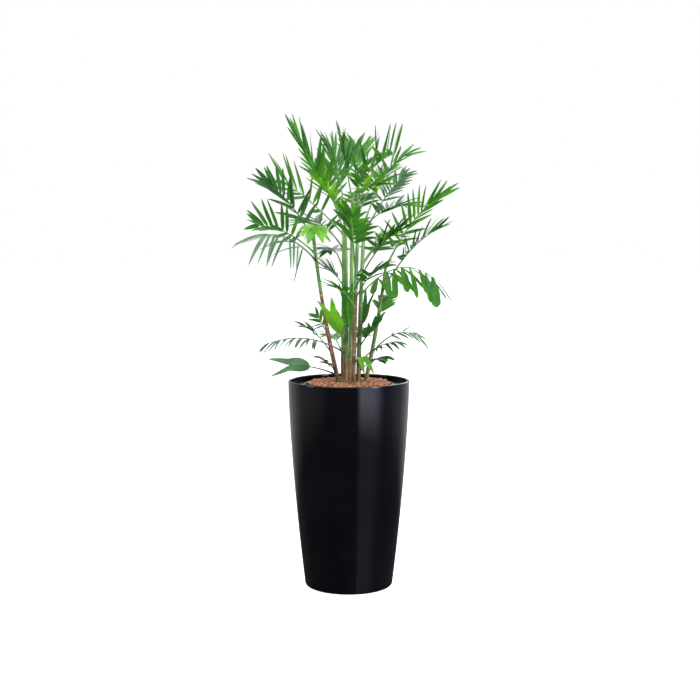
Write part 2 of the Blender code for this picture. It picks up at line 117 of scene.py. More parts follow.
class Board:
    """The node board of a material or of the world, with short ways to add and join nodes."""

    def __init__(self, owner: Material | World, output: str = "OutputMaterial") -> None:
        """Start an empty board.

        Args:
            owner: The material or world that it belongs to.
            output: The type name of its last node.
        """
        owner.use_nodes = True
        self.owner = owner
        self.nodes = owner.node_tree.nodes
        self.links = owner.node_tree.links
        self.nodes.clear()
        self.output = self.add(output)
        self.place = self.add("TexCoord")

    def add(self, kind: str, *inputs: object, **values: object) -> Node:
        """Add a node and give its inputs a number, a tuple or the socket to join them to.

        Args:
            kind: The node's type name, without ShaderNode in front.
            *inputs: The first inputs, in order.
            **values: Other inputs by name, with _ for a space.

        Returns:
            The new node.
        """
        node = self.nodes.new("ShaderNode" + kind)
        named = [(node.inputs[name.replace("_", " ")], value) for name, value in values.items()]
        for socket, value in [*zip(node.inputs, inputs), *named]:
            if isinstance(value, NodeSocket):
                self.links.new(value, socket)
            elif isinstance(value, tuple) and socket.type == "RGBA":
                socket.default_value = (*value, 1.0)
            else:
                socket.default_value = value
        return node

    def worked(self, operation: str, *values: object) -> NodeSocket:
        """Work something out from numbers or sockets.

        Args:
            operation: The operation's name.
            *values: What it works with, in order.

        Returns:
            The socket of the result.
        """
        node = self.add("Math", *values)
        node.operation = operation
        return node.outputs[0]

    def noise(self, scale: float, detail: float = 2.0, stretch: Spot | None = None) -> NodeSocket:
        """Return the strength of a noise over the object.

        Args:
            scale: How fine it is.
            detail: How much finer noise it carries.
            stretch: How the place is stretched first, if at all.

        Returns:
            The socket of the noise's strength.
        """
        place = self.place.outputs["Object"]
        if stretch is not None:
            place = self.add("Mapping", Vector=place, Scale=stretch).outputs["Vector"]
        return self.add("TexNoise", Vector=place, Scale=scale, Detail=detail).outputs["Fac"]

    def blend(self, factor: NodeSocket, *stops: tuple[float, Colour]) -> NodeSocket:
        """Blend colours.

        Args:
            factor: The socket that drives the blend.
            *stops: The factors from 0 to 1 and the colours there, in order.

        Returns:
            The socket of the blended colour.
        """
        node = self.add("ValToRGB", Fac=factor)
        elements = node.color_ramp.elements
        while len(elements) < len(stops):
            elements.new(0.5)
        for element, (place, colour) in zip(elements, stops):
            element.position = place
            element.color = (*colour, 1.0)
        return node.outputs["Color"]

    def spread(self, factor: NodeSocket, low: float, high: float) -> NodeSocket:
        """Return a socket that maps a factor of 0 to 1 onto low to high."""
        return self.add("MapRange", Value=factor, To_Min=low, To_Max=high).outputs["Result"]

    def skin(self, colour: NodeSocket, roughness: float | NodeSocket, relief: NodeSocket, strength: float,
             depth: float) -> Node:
        """Add a shader whose relief has this strength and this depth in metres."""
        bump = self.add("Bump", Height=relief, Strength=strength, Distance=depth)
        return self.add("BsdfPrincipled", Base_Color=colour, Roughness=roughness,
                        Normal=bump.outputs["Normal"])

    def done(self, shader: Node) -> Material | World:
        """Join the last shader to the output and return the board's owner."""
        self.links.new(shader.outputs[0], self.output.inputs["Surface"])
        return self.owner


@dataclass(frozen=True)
class LeafFinish:
    """A leaflet's waxy skin: parallel veins, mottled green and light that shines through."""

    name: str
    base: Colour
    fresh: Colour
    glow: Colour
    roughness: float = 0.38
    specular: float = 0.42
    mottle: float = 38.0
    wax: float = 120.0
    glow_share: float = 0.22
    veins: float = 26.0
    vein_strength: float = 0.25

    def material(self) -> Material:
        """Make the finish's material.

        Returns:
            The new material.
        """
        board = Board(bpy.data.materials.new(self.name))
        colour = board.blend(board.noise(self.mottle, 3.0), (0.35, self.base), (0.68, self.fresh))
        rough = board.spread(board.noise(self.wax), self.roughness - 0.06, self.roughness + 0.10)
        chart = board.add("Mapping", Vector=board.place.outputs["UV"], Scale=(self.veins, 0.6, 1.0))
        vein = board.add("TexWave", Vector=chart.outputs["Vector"], Scale=1.0, Distortion=0.6)
        skin = board.skin(colour, rough, vein.outputs["Fac"], self.vein_strength, 0.0004)
        skin.inputs["Specular IOR Level"].default_value = self.specular
        through = board.add("BsdfTranslucent", Color=self.glow)
        return board.done(board.add("MixShader", self.glow_share, skin.outputs[0], through.outputs[0]))


@dataclass(frozen=True)
class StemFinish:
    """The smooth skin of stalks, sheaths and canes, finely streaked lengthwise."""

    name: str
    low: Colour
    high: Colour
    roughness: float
    streak: float = 140.0
    streak_strength: float = 0.25
    blotch: float = 24.0

    def material(self) -> Material:
        """Make the finish's material.

        Returns:
            The new material.
        """
        board = Board(bpy.data.materials.new(self.name))
        streaks = board.noise(1.0, 4.0, (self.streak, self.streak, 9.0))
        blotches = board.noise(self.blotch)
        joined = board.worked("MULTIPLY", streaks, blotches)
        colour = board.blend(joined, (0.12, self.low), (0.42, self.high))
        rough = board.spread(blotches, self.roughness - 0.08, self.roughness + 0.12)
        return board.done(board.skin(colour, rough, streaks, self.streak_strength, 0.0005))


@dataclass(frozen=True)
class ClayFinish:
    """Fired clay pebbles: a dull, pitted skin with darker and paler burns."""

    name: str
    low: Colour
    high: Colour
    roughness: float = 0.62
    burn: float = 160.0
    pit: float = 900.0

    def material(self) -> Material:
        """Make the finish's material.

        Returns:
            The new material.
        """
        board = Board(bpy.data.materials.new(self.name))
        pits = board.noise(self.pit, 3.0)
        colour = board.blend(board.noise(self.burn, 4.0), (0.30, self.low), (0.70, self.high))
        rough = board.spread(pits, self.roughness - 0.15, self.roughness + 0.20)
        return board.done(board.skin(colour, rough, pits, 0.6, 0.0006))


@dataclass(frozen=True)
class MouldedFinish:
    """Moulded plastic, from high gloss to satin, with a faint orange-peel surface."""

    name: str
    base: Colour
    edge: Colour
    roughness: float
    peel: float
    cloud: float = 7.0
    grain: float = 260.0

    def material(self) -> Material:
        """Make the finish's material.

        Returns:
            The new material.
        """
        board = Board(bpy.data.materials.new(self.name))
        cloud = board.noise(self.cloud)
        colour = board.blend(cloud, (0.35, self.base), (0.65, self.edge))
        rough = board.spread(cloud, self.roughness * 0.8, self.roughness * 1.3)
        return board.done(board.skin(colour, rough, board.noise(self.grain), self.peel, 0.0002))


@dataclass(frozen=True)
class SoilFinish:
    """Dark, crumbly substrate under the pebbles."""

    name: str
    low: Colour
    high: Colour
    crumb: float = 240.0

    def material(self) -> Material:
        """Make the finish's material.

        Returns:
            The new material.
        """
        board = Board(bpy.data.materials.new(self.name))
        crumbs = board.noise(self.crumb, 6.0)
        colour = board.blend(crumbs, (0.0, self.low), (1.0, self.high))
        return board.done(board.skin(colour, 0.95, crumbs, 1.0, 0.002))


@dataclass(frozen=True)
class FloorFinish:
    """The studio floor: pale, matt and lit up to the white of the backdrop."""

    name: str = "floor_pale"
    low: Colour = (0.90, 0.90, 0.90)
    high: Colour = (0.94, 0.94, 0.94)
    glow: float = 0.95

    def material(self) -> Material:
        """Make the finish's material.

        Returns:
            The new material.
        """
        board = Board(bpy.data.materials.new(self.name))
        colour = board.blend(board.noise(2.0), (0.0, self.low), (1.0, self.high))
        skin = board.add("BsdfPrincipled", Base_Color=colour, Roughness=0.9, Specular_IOR_Level=0.0,
                         Emission_Color=(1.0, 1.0, 1.0), Emission_Strength=self.glow)
        return board.done(skin)


def leaf_finishes(tone: Tone, *colours: tuple[Colour, Colour, Colour]) -> tuple[LeafFinish, ...]:
    """Return a tone's finishes, each from its base, fresh and shine-through colours."""
    return tuple(LeafFinish(f"leaf_{tone.value}_{mark}", *row) for mark, row in zip("abc", colours))


Finish = LeafFinish | StemFinish | ClayFinish | MouldedFinish | SoilFinish | FloorFinish


class Finishes:
    """Every finish of the palm, its planter and the floor."""

    PLANTER = MouldedFinish("planter_gloss", (0.0020, 0.0020, 0.0028), (0.0030, 0.0030, 0.0042), 0.060, 0.03)
    COLLAR = MouldedFinish("collar_satin", (0.010, 0.010, 0.012), (0.018, 0.018, 0.021), 0.30, 0.15)
    SOIL = SoilFinish("substrate", (0.012, 0.008, 0.005), (0.070, 0.045, 0.028))
    FLOOR = FloorFinish()
    CLAYS = (
        ClayFinish("clay_orange", (0.300, 0.100, 0.032), (0.620, 0.270, 0.110)),
        ClayFinish("clay_brown", (0.170, 0.060, 0.025), (0.400, 0.160, 0.065)),
        ClayFinish("clay_pale", (0.420, 0.190, 0.080), (0.760, 0.420, 0.210)),
    )
    FOOT = StemFinish("cane_foot", (0.130, 0.060, 0.022), (0.420, 0.270, 0.110), 0.50)
    SCAR = StemFinish("cane_ring", (0.180, 0.160, 0.070), (0.420, 0.400, 0.200), 0.55)
    SHEATH = StemFinish("sheath", (0.050, 0.170, 0.035), (0.200, 0.400, 0.100), 0.40)
    RINDS = {
        Rind.GREEN: StemFinish("cane_green", (0.030, 0.095, 0.020), (0.180, 0.300, 0.070), 0.38),
        Rind.RED: StemFinish("cane_red", (0.110, 0.045, 0.020), (0.320, 0.150, 0.070), 0.42),
    }
    STALKS = (
        StemFinish("rib", (0.045, 0.150, 0.022), (0.170, 0.360, 0.070), 0.36),
        # The darker stalk finish is painted shade on the shaded fronds; the sage fronds wear it too.
        StemFinish("rib_dark", (0.014, 0.060, 0.012), (0.060, 0.160, 0.035), 0.38),
    )
    LEAVES = {
        MID: leaf_finishes(
            MID,
            ((0.012, 0.094, 0.0050), (0.030, 0.177, 0.0096), (0.106, 0.434, 0.011)),
            ((0.020, 0.122, 0.0050), (0.050, 0.235, 0.010), (0.142, 0.517, 0.014)),
            ((0.0085, 0.072, 0.0045), (0.021, 0.136, 0.0075), (0.081, 0.352, 0.011))),
        # Painted shade: a darker copy of the mid green, worn by the fronds that lie in shade.
        DEEP: leaf_finishes(
            DEEP,
            ((0.0046, 0.045, 0.0040), (0.013, 0.094, 0.0080), (0.045, 0.248, 0.011)),
            ((0.0070, 0.059, 0.0050), (0.018, 0.120, 0.0096), (0.062, 0.310, 0.014)),
            ((0.0031, 0.032, 0.0034), (0.0081, 0.068, 0.0069), (0.036, 0.207, 0.011))),
        # Painted light: a lighter, yellower copy of the mid green, worn by the lit fronds.
        BRIGHT: leaf_finishes(
            BRIGHT,
            ((0.046, 0.212, 0.0040), (0.114, 0.376, 0.0078), (0.267, 0.724, 0.017)),
            ((0.031, 0.162, 0.0040), (0.079, 0.294, 0.0078), (0.196, 0.620, 0.017)),
            ((0.077, 0.270, 0.0050), (0.166, 0.457, 0.010), (0.356, 0.827, 0.023))),
        SAGE: leaf_finishes(
            SAGE,
            ((0.033, 0.104, 0.040), (0.079, 0.189, 0.079), (0.130, 0.307, 0.102)),
            ((0.025, 0.080, 0.033), (0.056, 0.146, 0.061), (0.102, 0.270, 0.084)),
            ((0.048, 0.109, 0.056), (0.112, 0.204, 0.112), (0.157, 0.307, 0.130))),
    }


@cache
def made(finish: Finish) -> Material:
    """Return a finish's material, made on its first use."""
    return finish.material()


def dressed(mesh: Mesh, *finishes: Finish) -> Mesh:
    """Give a mesh its materials.

    Args:
        mesh: The mesh.
        *finishes: Its finishes, in the order of the finish numbers.

    Returns:
        The same mesh.
    """
    for finish in finishes:
        mesh.materials.append(made(finish))
    return mesh


def placed(name: str, data: ID) -> Object:
    """Put a mesh, a light or a camera in the scene.

    Args:
        name: The object's name.
        data: What the object shows.

    Returns:
        The new object.
    """
    thing = bpy.data.objects.new(name, data)
    bpy.context.scene.collection.objects.link(thing)
    return thing


def seated(name: str, mesh: Mesh, slot: str, *nodes: str) -> Object:
    """Make a piece that rides on the plant's one body and stands for its nodes.

    Args:
        name: The piece's name.
        mesh: Its mesh.
        slot: Not used.
        *nodes: The nodes that the piece replaces.

    Returns:
        The piece.
    """
    piece = placed(name, mesh)
    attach(piece, "root")
    if nodes:
        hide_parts(*nodes)
    return piece


@dataclass
class Pile:
    """Grids of points that are gathered into one mesh, each face with its finish number."""

    points: list[Vec] = field(default_factory=list)
    faces: list[Vec] = field(default_factory=list)
    charts: list[Vec] = field(default_factory=list)
    slots: list[Vec] = field(default_factory=list)
    count: int = 0

    @staticmethod
    def quads(table: Vec) -> Vec:
        """Return the four corners of each cell of a table, in order around it."""
        return np.stack([table[:-1, :-1], table[:-1, 1:], table[1:, 1:], table[1:, :-1]], axis=2)

    def grid(self, rows: Vec, slot: int | Vec = 0, closed: bool = False) -> None:
        """Add a grid of points as quads.

        Args:
            rows: Points of shape (rows, columns, 3).
            slot: The finish's number, for all faces or one for each band between two rows.
            closed: Whether the last column joins the first.
        """
        tall, wide = rows.shape[:2]
        index = np.arange(tall * wide).reshape(tall, wide) + self.count
        if closed:
            index = np.hstack([index, index[:, :1]])
        across, along = np.meshgrid(np.linspace(0.0, 1.0, index.shape[1]), np.linspace(0.0, 1.0, tall))
        self.points.append(rows.reshape(-1, 3))
        self.faces.append(self.quads(index).reshape(-1, 4))
        self.charts.append(self.quads(np.stack([across, along], axis=-1)).reshape(-1, 2))
        bands = np.broadcast_to(np.asarray(slot).reshape(-1, 1), (tall - 1, index.shape[1] - 1))
        self.slots.append(bands.reshape(-1))
        self.count += tall * wide

    def mesh(self, name: str, *finishes: Finish) -> Mesh:
        """Turn what was gathered into a mesh.

        Args:
            name: The mesh's name.
            *finishes: Its finishes, in the order of the finish numbers.

        Returns:
            The smooth shaded mesh, with the grids' own charts.
        """
        mesh = bpy.data.meshes.new(name)
        mesh.from_pydata(np.vstack(self.points).tolist(), [], np.vstack(self.faces).tolist())
        mesh.polygons.foreach_set("material_index", np.concatenate(self.slots).astype(np.int32))
        chart = mesh.uv_layers.new(name="chart")
        chart.data.foreach_set("uv", np.vstack(self.charts).astype(np.float32).ravel())
        dressed(mesh, *finishes)
        mesh.validate()
        mesh.shade_smooth()
        return mesh


def turned(name: str, profile: Vec, sides: int) -> Mesh:
    """Turn a closed profile about the upright axis.

    Args:
        name: The mesh's name.
        profile: Radius and height of each ring, the first and the last on the axis.
        sides: How many faces there are around.

    Returns:
        The closed mesh, smooth shaded between its creases.
    """
    angles = around(sides)
    radii = profile[:, :1]
    heights = np.broadcast_to(profile[:, 1:], (len(profile), sides))
    pile = Pile()
    pile.grid(np.stack([radii * np.cos(angles), radii * np.sin(angles), heights], axis=-1), closed=True)
    mesh = pile.mesh(name)
    work = bmesh.new()
    work.from_mesh(mesh)
    bmesh.ops.remove_doubles(work, verts=work.verts, dist=WELD)
    work.to_mesh(mesh)
    work.free()
    mesh.shade_smooth()
    mesh.set_sharp_from_angle(angle=radians(CREASE_DEGREES))
    return mesh


@dataclass(frozen=True)
class CaneShape:
    """A cane: where it stands, where it ends, how it bows, how thick it is and its colour."""

    name: str
    foot: Pair
    top: Spot
    bow: Pair
    foot_radius: float
    top_radius: float
    rind: Rind = Rind.GREEN

    FOOT_HEIGHT = 0.5563

    def share(self, height: float) -> float:
        """Return how far up the cane a height is, from 0 to 1."""
        return (height - self.FOOT_HEIGHT) / (self.top[2] - self.FOOT_HEIGHT)

    def centre(self, height: float) -> Vec:
        """Return the middle of the cane.

        Args:
            height: The height to look at.

        Returns:
            The point on its curve.
        """
        share = self.share(height)
        bend = 4.0 * share * (1.0 - share)
        east = self.foot[0] + (self.top[0] - self.foot[0]) * share + self.bow[0] * bend
        north = self.foot[1] + (self.top[1] - self.foot[1]) * share + self.bow[1] * bend
        return np.array([east, north, height])

    def radius(self, height: float) -> float:
        """Return the cane's radius at a height."""
        return self.foot_radius + (self.top_radius - self.foot_radius) * self.share(height)


@dataclass(frozen=True)
class FrondShape:
    """A frond: where it leaves its cane, where it ends and how its leaflets stand.

    Lengths are metres and angles degrees. Bare is the share of the stalk without leaflets,
    roll the stalk's turn about itself, and sweep a leaflet's angle from it, at the first
    and the last pair. Fold lifts the leaflets, droop lets them sag by a share of their
    length, and taper is the shortest one's share of the longest. A forked frond is a young
    leaf of two broad lobes.
    """

    name: str
    cane: str
    height: float
    tip: Spot
    rise: float
    bare: float
    leaflet: float
    roll: float
    fold: float
    sweep: Pair
    droop: float
    pairs: int
    width: float
    tone: Tone
    taper: float = 0.75
    forked: bool = False
    blunt: bool = False

    def rachis(self, cane: CaneShape, share: float) -> tuple[Vec, Vec, Vec, Vec]:
        """Return a place on the stalk and the directions there.

        Args:
            cane: The cane that the frond leaves.
            share: How far along the stalk, from 0 at the cane to 1 at the tip.

        Returns:
            The point, and the directions along the stalk, to its side and up from it.
        """
        start = cane.centre(self.height)
        end = np.array(self.tip)
        chord = end - start
        middle = start + chord * 0.5 + UP * self.rise
        rest = 1.0 - share
        point = start * rest * rest + middle * 2.0 * share * rest + end * share * share
        heading = unit((middle - start) * rest + (end - middle) * share)
        side = unit(np.cross(UP, np.array([chord[0], chord[1], 0.0])))
        lift = np.cross(heading, side)
        turn = radians(self.roll)
        return point, heading, side * cos(turn) + lift * sin(turn), lift * cos(turn) - side * sin(turn)

    def leaning(self, heading: Vec, outward: Vec, lift: Vec, sweep: float, fold: float) -> Vec:
        """Return a leaflet's direction, swept from the stalk and folded up by angles in degrees."""
        outward = outward * cos(radians(fold)) + lift * sin(radians(fold))
        return unit(heading * cos(radians(sweep)) + outward * sin(radians(sweep)))


CANES = {shape.name: shape for shape in (
    CaneShape("left", (-0.028, -0.008), (-0.094, -0.016, 0.945), (-0.006, 0.0), 0.0062, 0.0042, Rind.RED),
    CaneShape("mid_left", (-0.010, 0.014), (-0.012, 0.012, 1.020), (0.004, 0.0), 0.0068, 0.0042),
    CaneShape("centre", (0.004, -0.018), (0.010, -0.016, 1.060), (0.0, 0.0), 0.0070, 0.0042),
    CaneShape("right", (0.026, -0.004), (0.042, -0.012, 0.990), (-0.002, 0.0), 0.0065, 0.0042),
    CaneShape("outer_right", (0.046, 0.012), (0.100, 0.026, 0.870), (0.004, 0.0), 0.0060, 0.0040),
    CaneShape("back", (0.012, 0.040), (0.026, 0.090, 1.030), (0.0, 0.006), 0.0065, 0.0042),
    CaneShape("back_left", (-0.016, 0.036), (-0.014, 0.100, 0.970), (0.0, 0.006), 0.0060, 0.0040),
    CaneShape("front", (0.012, -0.044), (0.018, -0.092, 0.860), (0.0, -0.004), 0.0058, 0.0040, Rind.RED),
)}

# The tone of each frond is partly painted light: the darkest tone is painted shade on fronds that lie in
# shade and the brightest is painted light on lit fronds.
FRONDS = tuple(FrondShape(*row) for row in (
    ("left_high", "left", 0.935, (-0.21, 0.04, 1.08), 0.035, 0.2, 0.09, -40,
     35, (60, 14), 0.06, 11, 0.01, DEEP),
    ("left_comb", "left", 0.9, (-0.24, -0.03, 0.975), 0.035, 0.3, 0.105, -75,
     60, (78, 42), 0.02, 9, 0.01, MID, 0.25),
    ("left_droop", "left", 0.88, (-0.215, -0.17, 0.95), 0.045, 0.24, 0.115, -30,
     -30, (80, 20), 0.3, 9, 0.007, SAGE),
    ("left_back", "back_left", 0.95, (-0.18, 0.14, 1.095), 0.02, 0.35, 0.115, 50,
     30, (70, 30), 0.03, 10, 0.009, MID),
    ("left_front", "left", 0.925, (-0.085, -0.18, 0.965), 0.05, 0.3, 0.065, 0,
     5, (65, 20), 0.5, 6, 0.018, BRIGHT),
    ("top_left", "mid_left", 0.99, (-0.13, 0.0, 1.195), -0.01, 0.4, 0.108, -45,
     40, (50, 10), 0.03, 11, 0.011, MID),
    ("top_centre", "mid_left", 1.01, (-0.04, 0.09, 1.165), 0.04, 0.35, 0.115, 0,
     25, (40, 10), 0.02, 11, 0.008, MID),
    ("top_spear", "centre", 1.04, (-0.02, -0.02, 1.195), 0.0, 0.45, 0.075, -30,
     20, (35, 10), 0.02, 9, 0.008, MID),
    ("top_right", "centre", 1.05, (0.12, -0.13, 1.155), 0.045, 0.12, 0.105, 45,
     40, (60, 60), 0.02, 14, 0.01, MID),
    ("right_tip", "right", 0.98, (0.15, 0.05, 1.16), 0.07, 0.4, 0.08, 10,
     15, (60, 15), 0.08, 10, 0.008, MID),
    ("right_up", "right", 0.95, (0.15, 0.09, 1.11), 0.03, 0.45, 0.065, 20,
     20, (60, 20), 0.15, 10, 0.007, SAGE),
    ("right_fan", "outer_right", 0.86, (0.235, 0.03, 1.045), 0.05, 0.2, 0.09, 50,
     35, (70, 12), 0.03, 12, 0.009, MID),
    ("right_dark", "outer_right", 0.8, (0.235, -0.07, 0.965), 0.05, 0.35, 0.07, 25,
     25, (75, 20), 0.06, 12, 0.01, DEEP),
    ("right_droop", "right", 0.79, (0.225, -0.12, 0.835), 0.1, 0.2, 0.08, 5,
     -35, (88, 35), 0.35, 8, 0.018, MID, 0.75, False, True),
    ("front_high", "centre", 1.02, (0.07, -0.12, 1.075), 0.03, 0.42, 0.09, 20,
     15, (60, 20), 0.2, 11, 0.013, BRIGHT),
    ("front_left_high", "centre", 0.95, (-0.065, -0.11, 1.07), 0.025, 0.46, 0.08, -25,
     20, (60, 20), 0.12, 11, 0.011, BRIGHT),
    ("front_right", "front", 0.81, (0.13, -0.16, 0.96), 0.05, 0.42, 0.095, 20,
     15, (65, 20), 0.12, 12, 0.014, DEEP),
    ("front_centre", "front", 0.84, (0.005, -0.24, 1.0), 0.03, 0.45, 0.085, -20,
     15, (60, 20), 0.15, 11, 0.012, MID),
    ("front_low", "front", 0.76, (-0.03, -0.19, 0.815), 0.02, 0.4, 0.08, -20,
     15, (55, 20), 0.15, 8, 0.014, MID),
    ("front_right_low", "front", 0.78, (0.08, -0.2, 0.865), 0.03, 0.4, 0.08, 20,
     15, (60, 20), 0.2, 9, 0.012, DEEP),
    ("back_high", "back", 1.02, (0.02, 0.18, 1.185), 0.05, 0.35, 0.105, 0,
     20, (55, 15), 0.06, 11, 0.01, MID),
    ("back_right_high", "back", 1.0, (0.105, 0.22, 1.125), 0.05, 0.35, 0.09, 0,
     20, (60, 15), 0.06, 11, 0.01, MID),
    ("back_right", "back", 0.95, (0.17, 0.18, 1.03), 0.05, 0.4, 0.085, 0,
     15, (65, 15), 0.1, 12, 0.01, DEEP),
    ("back_centre", "back", 0.94, (0.035, 0.29, 1.06), 0.05, 0.5, 0.078, 0,
     15, (60, 15), 0.1, 11, 0.01, DEEP),
    ("back_left_high", "back_left", 0.96, (-0.09, 0.22, 1.125), 0.04, 0.4, 0.1, 0,
     20, (60, 15), 0.06, 11, 0.01, MID),
    ("back_left_mid", "back_left", 0.91, (-0.125, 0.24, 0.985), 0.05, 0.35, 0.095, 0,
     15, (65, 15), 0.1, 11, 0.01, DEEP),
    ("back_low", "back_left", 0.85, (-0.06, 0.27, 0.905), 0.05, 0.45, 0.08, 0,
     10, (60, 15), 0.12, 10, 0.01, DEEP),
    ("back_right_low", "back", 0.83, (0.12, 0.25, 0.925), 0.06, 0.45, 0.085, 0,
     10, (65, 15), 0.15, 10, 0.01, DEEP),
    ("mid_right", "right", 0.87, (0.135, 0.12, 0.945), 0.05, 0.45, 0.062, 0,
     20, (60, 15), 0.1, 10, 0.01, MID),
    ("mid_left_low", "mid_left", 0.8, (-0.06, 0.06, 0.855), 0.02, 0.45, 0.07, 30,
     20, (55, 15), 0.1, 8, 0.01, DEEP),
    ("low_right_arch", "outer_right", 0.63, (0.19, 0.02, 0.675), 0.06, 0.4, 0.05, 20,
     0, (65, 20), 0.25, 6, 0.007, SAGE),
    ("low_right_comb", "right", 0.605, (0.125, -0.09, 0.67), 0.03, 0.45, 0.05, 20,
     -10, (65, 15), 0.3, 5, 0.008, DEEP),
    ("low_right_leaf", "right", 0.58, (0.09, -0.05, 0.625), 0.02, 0.4, 0.04, 10,
     0, (60, 20), 0.3, 5, 0.014, DEEP),
    ("low_right_slant", "right", 0.65, (0.075, -0.06, 0.72), 0.0, 0.35, 0.055, 10,
     20, (50, 15), 0.05, 6, 0.012, DEEP),
    ("low_right_back", "outer_right", 0.7, (0.1, 0.1, 0.77), 0.02, 0.4, 0.065, 0,
     20, (50, 15), 0.15, 8, 0.012, MID),
    ("low_left_dark", "left", 0.63, (-0.115, -0.03, 0.705), 0.02, 0.5, 0.05, -20,
     10, (60, 15), 0.1, 4, 0.014, DEEP),
    ("low_left_fan", "left", 0.68, (-0.085, 0.05, 0.73), 0.0, 0.45, 0.045, -60,
     10, (60, 15), 0.1, 6, 0.007, MID),
    ("low_left_arch", "mid_left", 0.63, (-0.22, 0.03, 0.655), 0.055, 0.35, 0.05, 0,
     -10, (75, 25), 0.5, 8, 0.009, SAGE),
    ("low_left_pair", "left", 0.575, (-0.16, -0.05, 0.605), 0.015, 0.55, 0.065, -60,
     0, (25, 25), 0.1, 1, 0.03, SAGE, 0.75, True),
    ("low_left_small", "left", 0.58, (-0.07, -0.07, 0.625), 0.01, 0.4, 0.04, -20,
     0, (55, 20), 0.2, 5, 0.012, DEEP),
    ("low_back", "back", 0.62, (0.045, 0.15, 0.685), 0.03, 0.45, 0.06, 0,
     10, (60, 15), 0.2, 6, 0.014, DEEP),
    ("low_back_left", "back_left", 0.62, (-0.055, 0.14, 0.67), 0.03, 0.45, 0.06, 0,
     10, (60, 15), 0.2, 6, 0.012, MID),
    ("young_left", "mid_left", 0.65, (-0.05, -0.06, 0.75), 0.0, 0.35, 0.055, 20,
     0, (22, 22), 0.0, 1, 0.03, BRIGHT, 0.75, True),
    ("young_centre", "centre", 0.66, (-0.005, -0.06, 0.78), 0.0, 0.35, 0.06, 0,
     0, (20, 20), 0.0, 1, 0.024, MID, 0.75, True),
    ("young_right", "right", 0.68, (0.05, 0.02, 0.765), 0.0, 0.35, 0.055, 0,
     0, (20, 20), 0.0, 1, 0.022, DEEP, 0.75, True),
    ("young_front", "front", 0.6, (0.04, -0.1, 0.62), 0.035, 0.45, 0.045, 0,
     0, (20, 20), 0.2, 1, 0.028, BRIGHT, 0.75, True),
))


def rounded(radius: float, height: float, half: float, steps: int) -> list[Pair]:
    """Return the points over an edge of this half thickness, from the outside to the inside."""
    angles = np.linspace(0.0, pi, steps)
    return [(radius + half * cos(angle), height + half * sin(angle)) for angle in angles]


@dataclass
class Planter:
    """The tall flared planter: a turned shell with a rounded foot and a rolled rim."""

    height: float = 0.560
    foot_radius: float = 0.1185
    rim_radius: float = 0.1632
    bulge: float = 1.53
    wall: float = 0.006
    floor: float = 0.006
    sole_radius: float = 0.05
    foot_rounding: float = 0.008
    wall_start: float = 0.02
    rim_blend: float = 0.002
    foot_steps: int = 9
    outer_steps: int = 60
    rim_steps: int = 13
    inner_steps: int = 30
    sides: int = 160

    def outer(self, height: float) -> float:
        """Return the outer wall's radius at a height."""
        flare = 1.0 - (1.0 - height / self.height) ** self.bulge
        return self.foot_radius + (self.rim_radius - self.foot_radius) * flare

    def profile(self) -> Vec:
        """Draw the shell's outline.

        Returns:
            Radius and height from the underside's middle, over the rim, to the floor's middle.
        """
        rounding, half = self.foot_rounding, self.wall / 2.0
        reach = self.outer(rounding) - rounding
        top = self.height - half - self.rim_blend
        rows = [(0.0, 0.0), (self.sole_radius, 0.0), (self.foot_radius - rounding, 0.0)]
        for angle in np.linspace(0.1, 1.0, self.foot_steps) * pi / 2.0:
            rows.append((reach + rounding * sin(angle), rounding * (1.0 - cos(angle))))
        for height in np.linspace(self.wall_start, top, self.outer_steps):
            rows.append((self.outer(height), height))
        rows += rounded(self.rim_radius - half, self.height - half, half, self.rim_steps)
        for height in np.linspace(top, self.floor, self.inner_steps):
            rows.append((self.outer(height) - self.wall, height))
        rows.append((0.0, self.floor))
        return np.array(rows)

    def build(self) -> Object:
        """Build the shell and return it, glossy black."""
        shell = self.dress(turned("planter_shell", self.profile(), self.sides))
        return seated("planter_shell", shell, "planter_gloss", "planter")

    def dress(self, mesh: Mesh) -> Mesh:
        """Give the shell its gloss and return it."""
        return dressed(mesh, Finishes.PLANTER)


@dataclass
class Collar:
    """The insert that carries the root ball, with a flange that meets the planter's wall."""

    floor_height: float = 0.300
    floor_radius: float = 0.0975
    mouth_radius: float = 0.1165
    wall: float = 0.003
    flange_height: float = 0.5435
    lip_height: float = 0.5510
    gap: float = 0.0003
    edge_under: Pair = (0.0010, 0.0006)
    edge_over: float = 0.0008
    wall_steps: int = 8
    lip_steps: int = 9
    sides: int = 128

    def cup(self, height: float) -> float:
        """Return the insert's inner radius at a height."""
        share = (height - self.floor_height) / (self.lip_height - self.floor_height)
        return self.floor_radius + (self.mouth_radius - self.floor_radius) * share

    def profile(self, planter: Planter) -> Vec:
        """Draw the insert's outline.

        Args:
            planter: The shell that the flange meets.

        Returns:
            Radius and height from the underside's middle, over the flange, to the cup's floor.
        """
        half = self.wall / 2.0
        under = self.flange_height - self.wall
        neck = self.mouth_radius + self.wall
        reach = planter.outer(under) - planter.wall - self.gap
        rows = [(0.0, self.floor_height - self.wall), (self.floor_radius, self.floor_height - self.wall)]
        for height in np.linspace(self.floor_height, under, self.wall_steps):
            rows.append((self.cup(height) + self.wall, height))
        rows += [(reach - self.edge_under[0], under), (reach, under + self.edge_under[1]),
                 (reach, self.flange_height - self.edge_over), (reach - self.edge_over, self.flange_height),
                 (neck, self.flange_height), (neck, self.lip_height - half)]
        rows += rounded(self.mouth_radius + half, self.lip_height - half, half, self.lip_steps)
        for height in np.linspace(self.lip_height - self.wall, self.floor_height, self.wall_steps):
            rows.append((self.cup(height), height))
        rows.append((0.0, self.floor_height))
        return np.array(rows)

    def build(self, planter: Planter) -> Object:
        """Build the insert inside the planter and return it."""
        collar = self.dress(turned("planting_collar", self.profile(planter), self.sides))
        return seated("planting_collar", collar, "insert_plastic", "planting_insert")

    def dress(self, mesh: Mesh) -> Mesh:
        """Give the insert its satin black and return it."""
        return dressed(mesh, Finishes.COLLAR)


